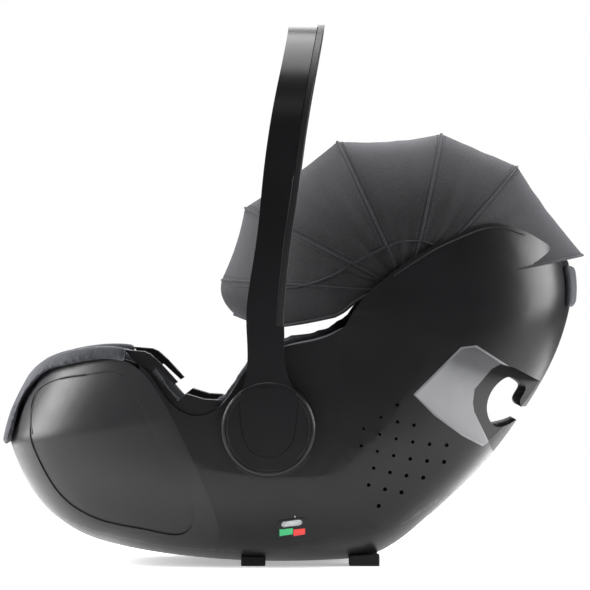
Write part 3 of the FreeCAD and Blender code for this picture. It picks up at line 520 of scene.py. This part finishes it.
thread = plastic("sewing_thread", (0.02, 0.02, 0.024), (0.05, 0.05, 0.056), 0.6)
for index, body in enumerate(RIB_BODIES[1:], 1):
    for neighbour, side in ((index - 1, 1), (index, -1)):
        if neighbour > 4:
            continue
        a0, a1 = RIBS[neighbour][0], RIBS[neighbour + 1][0]
        path = []
        for turn in TURNS[6:-6]:
            reach = max(0.02, RIBS[index][1] * math.sin(turn) ** (2 / CANOPY_POWER))
            u = (1.0 if side == 1 else 0.0) - side * min(0.2, math.degrees(0.0048 / reach) / (a1 - a0))
            at = arch_point(turn, a0 + (a1 - a0) * u, panel_radius(neighbour, u))
            path.append((at, (at - PIVOT - Vector((0, at.y * 0.3, 0))).normalized()))
        stitch_row("canopy_stitches_%s_%d" % (body, neighbour), path, body, thread)


# The band seam runs low round both sides, from the front corner to the top of the rear rib.
BAND = [(-0.0775, 0.330), (-0.071, 0.322), (-0.052, 0.320), (-0.008, 0.319), (0.015, 0.323), (0.040, 0.332),
        (0.063, 0.345), (0.103, 0.3655), (0.121, 0.3715), (0.143, 0.372), (0.157, 0.368)]


def side_point(x, z, lift=0.0):
    """Point of the canopy's near side at a place in side view, and the panel it's on."""
    dx, dz = x - PIVOT.x, z - PIVOT.z
    r, angle = math.hypot(dx, dz), math.degrees(math.atan2(dz, dx))
    index = next(i for i in range(5) if RIBS[i][0] <= angle <= RIBS[i + 1][0] or i == 4)
    a0, a1 = RIBS[index][0], RIBS[index + 1][0]
    radius = panel_radius(index, min(1, max(0, (angle - a0) / (a1 - a0))))
    share = min(0.999, r / radius)
    y = CANOPY_HALF * (1 - share ** CANOPY_POWER) ** (1 / CANOPY_POWER)
    return Vector((x, -y - lift, z)), index


band = [side_point(x, z, 0.0003) for x, z in smooth_path(BAND, 10)]
for index in range(5):
    run = [p for p, i in band if i == index]
    if len(run) < 3:
        continue
    for sign, word in ((1, "left"), (-1, "right")):
        seam = tube("canopy_band_seam_%d_%s" % (index, word), [Vector((p.x, p.y * sign, p.z)) for p in run],
                    0.0011, binding_cloth, 8)
        (a0, r0), (a1, r1) = RIBS[index], RIBS[index + 1]
        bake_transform(seam)


# ------------------------------------------------------------------ cushions
BUCKET_MIDDLE = Vector((0.04, 0, 0.30))
cushions = []


def cushion(node, voxel, towards, reach, cap, material, smooth=8, thicken=0.0):
    """Padded piece grown from a CAD node: remeshed, then blown up by the cloth solver on its show side."""
    made = bpy.data.objects.new(node + "_soft", nodes[node].data.copy())
    scene.collection.objects.link(made)
    if thicken:
        made.modifiers.new("weld", "WELD").merge_threshold = 0.00002
        fuller = made.modifiers.new("thicken", "DISPLACE")
        fuller.strength, fuller.mid_level = thicken, 0.0
    mesh = made.modifiers.new("remesh", "REMESH")
    mesh.mode, mesh.voxel_size, mesh.use_smooth_shade = "VOXEL", voxel, True
    soft = made.modifiers.new("smooth", "SMOOTH")
    soft.factor, soft.iterations = 0.5, smooth
    bake(made)
    made.data.materials.clear()
    made.data.materials.append(material)
    cushions.append((made, towards, reach, cap))
    return made


def blow_up():
    """Runs every cushion's cloth together, caps how far it moves and keeps its hidden side in place."""
    before = {}
    for made, *_ in cushions:
        before[made.name] = np.array([v.co for v in made.data.vertices])
        solver = made.modifiers.new("cloth", "CLOTH")
        cloth = solver.settings
        cloth.quality, cloth.mass = 4, 0.25
        cloth.tension_stiffness = cloth.compression_stiffness = 12
        cloth.shear_stiffness, cloth.bending_stiffness = 6, 0.6
        cloth.use_pressure, cloth.uniform_pressure_force = True, 4.0
        cloth.effector_weights.gravity = 0
        solver.collision_settings.use_collision = False
        solver.point_cache.frame_start, solver.point_cache.frame_end = 1, 20
    scene.frame_start, scene.frame_end = 1, 20
    for frame_number in range(1, 21):
        scene.frame_set(frame_number)
    for made, towards, reach, cap in cushions:
        bake(made)
        rest = before[made.name]
        mesh = made.data
        now = np.array([v.co for v in mesh.vertices])
        moved = now - rest
        length = np.linalg.norm(moved, axis=1, keepdims=True)
        moved *= np.minimum(1, cap / np.maximum(length, 1e-9))
        normals = np.array([v.normal for v in mesh.vertices])
        aim = np.array(towards) - rest
        facing = (normals * aim).sum(1) / np.linalg.norm(aim, axis=1)
        shown = np.clip((facing * reach + 0.1) / 0.5, 0, 1)[:, None]
        placed = rest + moved * shown
        mesh.vertices.foreach_set("co", placed.ravel())
        mesh.update()
        fine = made.modifiers.new("fine", "SUBSURF")
        fine.levels = fine.render_levels = 1
        bake(made)
        made.data.shade_smooth()


def carve(made, distances, depth, width, towards):
    """Sewn channels: presses the surface in along lines where one of the distances is zero."""
    mesh = made.data
    co = np.array([v.co for v in mesh.vertices])
    normals = np.array([v.normal for v in mesh.vertices])
    total = np.zeros(len(co))
    for distance in distances:
        total = np.maximum(total, np.exp(-(distance(co) / width) ** 2))
    aim = np.array(towards) - co
    facing = (normals * aim).sum(1) / np.linalg.norm(aim, axis=1)
    total *= np.clip(facing / 0.35, 0, 1)
    co -= normals * (total * depth)[:, None]
    mesh.vertices.foreach_set("co", co.ravel())
    mesh.update()


def finish_cushion(made, node, body):
    """Lets a cushion take its CAD node's place, on the body that carries it."""
    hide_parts(node)
    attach(made, body)


SHELL_MIDDLE = Vector((0.0, 0, 0.17))
seat = cushion("seat_pad", 0.0055, BUCKET_MIDDLE, 1, 0.006, cover_cloth)
lip = cushion("front_cover_lip", 0.002, SHELL_MIDDLE, -1, 0.002, cover_cloth, 16, 0.0018)
edge = cushion("cover_edge", 0.004, BUCKET_MIDDLE, 1, 0.002, binding_cloth)
tab = cushion("rear_cover_tab", 0.003, SHELL_MIDDLE, -1, 0.0015, cover_cloth)
head = cushion("headrest_pad", 0.0045, Vector((0.12, 0, 0.30)), 1, 0.005, insert_cloth)
crotch = cushion("crotch_pad", 0.003, Vector((-0.2, 0, 0.3)), 1, 0.002, insert_cloth)
pads = [cushion("shoulder_pad_" + word, 0.003, Vector((-0.1, 0, 0.4)), 1, 0.002, insert_cloth)
        for word in ("left", "right")]
blow_up()


def along_seat(co):
    """Distance along the seat's inside, round from the foot end to the head end, in metres."""
    return np.arctan2(co[:, 0] - 0.02, 0.34 - co[:, 2]) * 0.24


carve(seat, [lambda co: np.abs(co[:, 1]) - 0.078], 0.0045, 0.0042, BUCKET_MIDDLE)


def beyond_middle(co):
    """Three times how far a point lies outside the seat's middle channel, so cross channels stop there."""
    return np.maximum(0, np.abs(co[:, 1]) - 0.078) * 3


channels = [lambda co, at=at: np.hypot(along_seat(co) - at, beyond_middle(co))
            for at in np.arange(-0.27, 0.30, 0.042)]
carve(seat, channels, 0.0028, 0.0045, BUCKET_MIDDLE)
carve(head, [lambda co: np.abs(co[:, 1]) - 0.062], 0.003, 0.004, Vector((0.12, 0, 0.30)))
finish_cushion(seat, "seat_pad", "shell")
finish_cushion(lip, "front_cover_lip", "shell")
finish_cushion(edge, "cover_edge", "shell")
finish_cushion(tab, "rear_cover_tab", "shell")
finish_cushion(head, "headrest_pad", "headrest")
finish_cushion(crotch, "crotch_pad", "shell")


# ------------------------------------------------------------------ harness
SLIDE = Vector((158.0, 0, 245.0)).normalized()
FORWARD = SLIDE.cross(Vector((0, 1, 0)))
BACK_START = Vector((0.124, 0, 0.160))
LEAN = math.radians(38.0)
BUCKLE_UP = Vector((math.sin(LEAN), 0, math.cos(LEAN)))
BUCKLE_BASE = Vector((-0.034, 0, 0.110))
TIP = BUCKLE_BASE + BUCKLE_UP * 0.075


def on_back(s, f, y=0.0):
    """Point a distance s up the seat's back and f in front of it."""
    return BACK_START + SLIDE * s + FORWARD * f + Vector((0, y, 0))


def ribbon(name, stations, width, thickness, material):
    """Flat band with rounded edges along a smooth path; UV runs across and along it."""
    sides = 14
    path = [Vector(p) for p in smooth_path([tuple(s) for s in stations], 10)]
    rows, uvs, travelled = [], [], 0.0
    for i, p in enumerate(path):
        tangent = (path[min(i + 1, len(path) - 1)] - path[max(i - 1, 0)]).normalized()
        across = tangent.cross(Vector((0, 0, 1))).normalized()
        out = across.cross(tangent).normalized()
        if i:
            travelled += (p - path[i - 1]).length
        for k in range(sides):
            turn = 2 * math.pi * k / sides
            c, s = math.cos(turn), math.sin(turn)
            w = math.copysign(abs(c) ** 0.35, c) * width / 2
            h = math.copysign(abs(s) ** 0.8, s) * thickness / 2
            rows.append(p + across * w + out * h)
            uvs.append((0.5 + w / width, travelled))
    faces = grid_faces(len(path), sides, True)
    faces += [tuple(range(sides))[::-1], tuple(range((len(path) - 1) * sides, len(path) * sides))]
    made = add(name, rows, faces, material)
    layer = made.data.uv_layers.new(name="UVMap")
    for loop in made.data.loops:
        layer.data[loop.index].uv = uvs[loop.vertex_index]
    return made, path


for word, side in (("left", -1), ("right", 1)):
    top = [on_back(0.030, f, side * 0.042) for f in (-0.001, 0.012, 0.024)]
    run = [(0.104, side * 0.039, 0.193), (0.088, side * 0.036, 0.179), (0.070, side * 0.032, 0.169),
           (0.050, side * 0.027, 0.163), (TIP.x + 0.014, side * 0.0215, 0.163)]
    end = (TIP.x + 0.004, side * 0.0205, TIP.z + 0.0015)
    strap, path = ribbon("shoulder_webbing_" + word, top + run + [end], 0.038, 0.0016, webbing)
    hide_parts("shoulder_strap_" + word)
    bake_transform(strap)
    lap, path = ribbon("lap_webbing_" + word, [(TIP.x + 0.002, side * 0.027, TIP.z - 0.004),
                                               (0.030, side * 0.044, 0.152), (0.052, side * 0.062, 0.140),
                                               (0.074, side * 0.082, 0.136), (0.086, side * 0.097, 0.135)],
                       0.025, 0.0016, webbing)
    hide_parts("lap_strap_" + word)
    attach(lap, "shell")
crotch_web, path = ribbon("crotch_webbing", [BUCKLE_BASE - BUCKLE_UP * d for d in (0.0003, 0.006, 0.014)],
                          0.038, 0.0016, webbing)
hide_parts("crotch_strap")
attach(crotch_web, "shell")
for pad, word in zip(pads, ("left", "right")):
    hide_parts("shoulder_pad_" + word)
    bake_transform(pad)


# ------------------------------------------------------------------ moulded detail on the hard parts
HUB = Vector((-0.030, 0, 0.160))


def on_side(name, points, side, lift=0.0):
    """Drops a side-view path onto the outside of a CAD node."""
    tree = surface_of(name)
    out = []
    for x, z in points:
        hit = tree.ray_cast(Vector((x * MM, side * 0.4, z * MM)), Vector((0, -side, 0)))[0]
        if hit is not None:
            out.append(hit + Vector((0, side * lift, 0)))
    return out


def bead_line(name, node, points, radius, material):
    """Thin moulded bead along a side-view path, on both sides of the shell."""
    for side, word in ((-1, "left"), (1, "right")):
        path = on_side(node, smooth_path(points, 10), side)
        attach(tube(name + "_" + word, path, radius, material, 8), "shell")


for side, word in ((-1, "left"), (1, "right")):
    for radius, bead_radius in ((0.0505, 0.0008), (0.0470, 0.0005)):
        ring = []
        for k in range(97):
            turn = math.radians(128 + 284 * k / 96)
            out = 0.2222 if radius > 0.05 else 0.2221
            ring.append(HUB + Vector((radius * math.cos(turn), side * out, radius * math.sin(turn))))
        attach(tube("hub_ring_%s_%d" % (word, round(radius * 10000)), ring, bead_radius, gloss, 8), "handle")
    tick = on_side("side_pod_" + word, [(-0.2, 56.5), (-0.1, 58.5), (0.0, 61.0)], side, 0.0001)
    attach(tube("level_tick_" + word, tick, 0.0005, bead, 6), "shell")

FRONT_BEAD = [(-300, 152), (-302, 166), (-301, 181), (-293, 203), (-268, 216), (-237, 221), (-210, 223.5),
              (-196, 218.5)]
REAR_RIM = [(112, 333), (130, 345), (160, 363), (188, 376), (211, 385), (226, 387.5), (240, 386), (262, 379)]
PANEL_BEAD = 0.0009
bead_line("front_panel_bead", "front_fairing", FRONT_BEAD, PANEL_BEAD, grey)
bead_line("rear_panel_rim", "rear_fairing", REAR_RIM, PANEL_BEAD, black)


# ------------------------------------------------------------------ studio
FLOOR_RADIUS, FLOOR_SIDES = 1.25, 96
CAMERA_DISTANCE, CAMERA_LENS, SENSOR = 6.0, 313, 36


def studio():
    """White floor and background, five soft lights, and the camera square on to the seat's side."""
    world = bpy.data.worlds.new("studio")
    scene.world = world
    world.use_nodes = True
    tree = world.node_tree
    tree.nodes.clear()
    out = tree.nodes.new("ShaderNodeOutputWorld")
    seen = tree.nodes.new("ShaderNodeBackground")
    seen.inputs["Color"].default_value = (1, 1, 1, 1)
    seen.inputs["Strength"].default_value = 1.0
    lit = tree.nodes.new("ShaderNodeBackground")
    lit.inputs["Color"].default_value = (1, 1, 1, 1)
    lit.inputs["Strength"].default_value = 0.07
    path = tree.nodes.new("ShaderNodeLightPath")
    mix = tree.nodes.new("ShaderNodeMixShader")
    tree.links.new(path.outputs["Is Camera Ray"], mix.inputs["Fac"])
    tree.links.new(lit.outputs["Background"], mix.inputs[1])
    tree.links.new(seen.outputs["Background"], mix.inputs[2])
    tree.links.new(mix.outputs["Shader"], out.inputs["Surface"])
    turns = [2 * math.pi * k / FLOOR_SIDES for k in range(FLOOR_SIDES)]
    rim = [(FLOOR_RADIUS * math.cos(t), FLOOR_RADIUS * math.sin(t), 0) for t in turns]
    floor = add("floor", rim, [tuple(range(FLOOR_SIDES))], None, False)
    s = Shader("pale_floor", Roughness=0.9, Specular_IOR_Level=0.1, Emission_Strength=0.40)
    s.bsdf.inputs["Emission Color"].default_value = (1, 1, 1, 1)
    s.link(s.ramp(s.noise(2, 2), (0.86, 0.86, 0.86), (0.88, 0.88, 0.88)), s.bsdf.inputs["Base Color"])
    floor.data.materials.append(s.material)
    centre = Vector((0, 0, 0.3))
    for name, spot, size, power in (
            ("top", (-0.1, 0.1, 2.2), (1.6, 1.6), 72), ("foot_end", (-1.9, 0.0, 0.9), (1.5, 1.3), 125),
            ("head_end", (2.0, -0.2, 0.7), (1.5, 1.2), 95), ("front_fill", (-0.4, -3.2, 2.2), (1.6, 1.0), 6),
            ("back_fill", (0.2, 2.6, 1.8), (2.4, 1.4), 45)):
        data = bpy.data.lights.new(name, "AREA")
        data.shape, data.size, data.size_y, data.energy = "RECTANGLE", size[0], size[1], power
        light = bpy.data.objects.new(name, data)
        light.location = spot
        light.rotation_mode = "QUATERNION"
        light.rotation_quaternion = (centre - Vector(spot)).to_track_quat("-Z", "Y")
        scene.collection.objects.link(light)
    data = bpy.data.cameras.new("camera")
    data.lens, data.sensor_width = CAMERA_LENS, SENSOR
    camera = bpy.data.objects.new("camera", data)
    camera.location = (0, -CAMERA_DISTANCE, (cad_low[2] + cad_high[2]) / 2)
    camera.rotation_euler = (math.pi / 2, 0, 0)
    data.clip_end = 60
    scene.collection.objects.link(camera)
    scene.camera = camera
    scene.view_settings.view_transform = "Standard"


studio()
